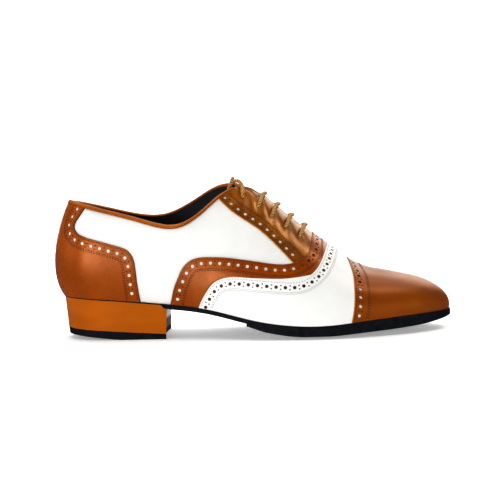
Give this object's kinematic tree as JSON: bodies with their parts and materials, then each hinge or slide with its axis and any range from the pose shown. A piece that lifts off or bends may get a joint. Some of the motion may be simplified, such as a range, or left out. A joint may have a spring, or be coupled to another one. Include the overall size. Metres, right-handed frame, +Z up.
{
  "type": "dance shoe",
  "caption": "Right-foot lace-up dance shoe in tan and white leather, with a punched toe cap and side bands, a low covered heel and a thin sole.",
  "frame": {"origin": "centre of the shoe's bounding box, on the floor it stands on", "axes": "+X from heel to toe, +Y to the inner side of the right foot, +Z up"},
  "size_m": [0.2973, 0.0942, 0.1176],
  "materials": {
    "white_leather": "smooth, softly glossy",
    "tan_leather": "polished",
    "heel_leather": "polished",
    "lining": "matte",
    "sole": "matte",
    "lace": "waxed"
  },
  "bodies": {
    "root": {"upper": "white_leather", "vamp": "white_leather", "heel_counter": "tan_leather", "side_band": "tan_leather", "facing_lateral": "tan_leather", "facing_medial": "tan_leather", "toe_cap": "tan_leather", "collar_binding": "tan_leather", "tongue": "tan_leather", "insole": "lining", "outsole": "sole", "forefoot_sole": "sole", "heel_block": "heel_leather", "heel_lift": "sole", "lace_bar_1": "lace", "lace_bar_2": "lace", "lace_bar_3": "lace", "lace_bar_4": "lace", "lace_tie": "lace"}
  },
  "joints": []
}
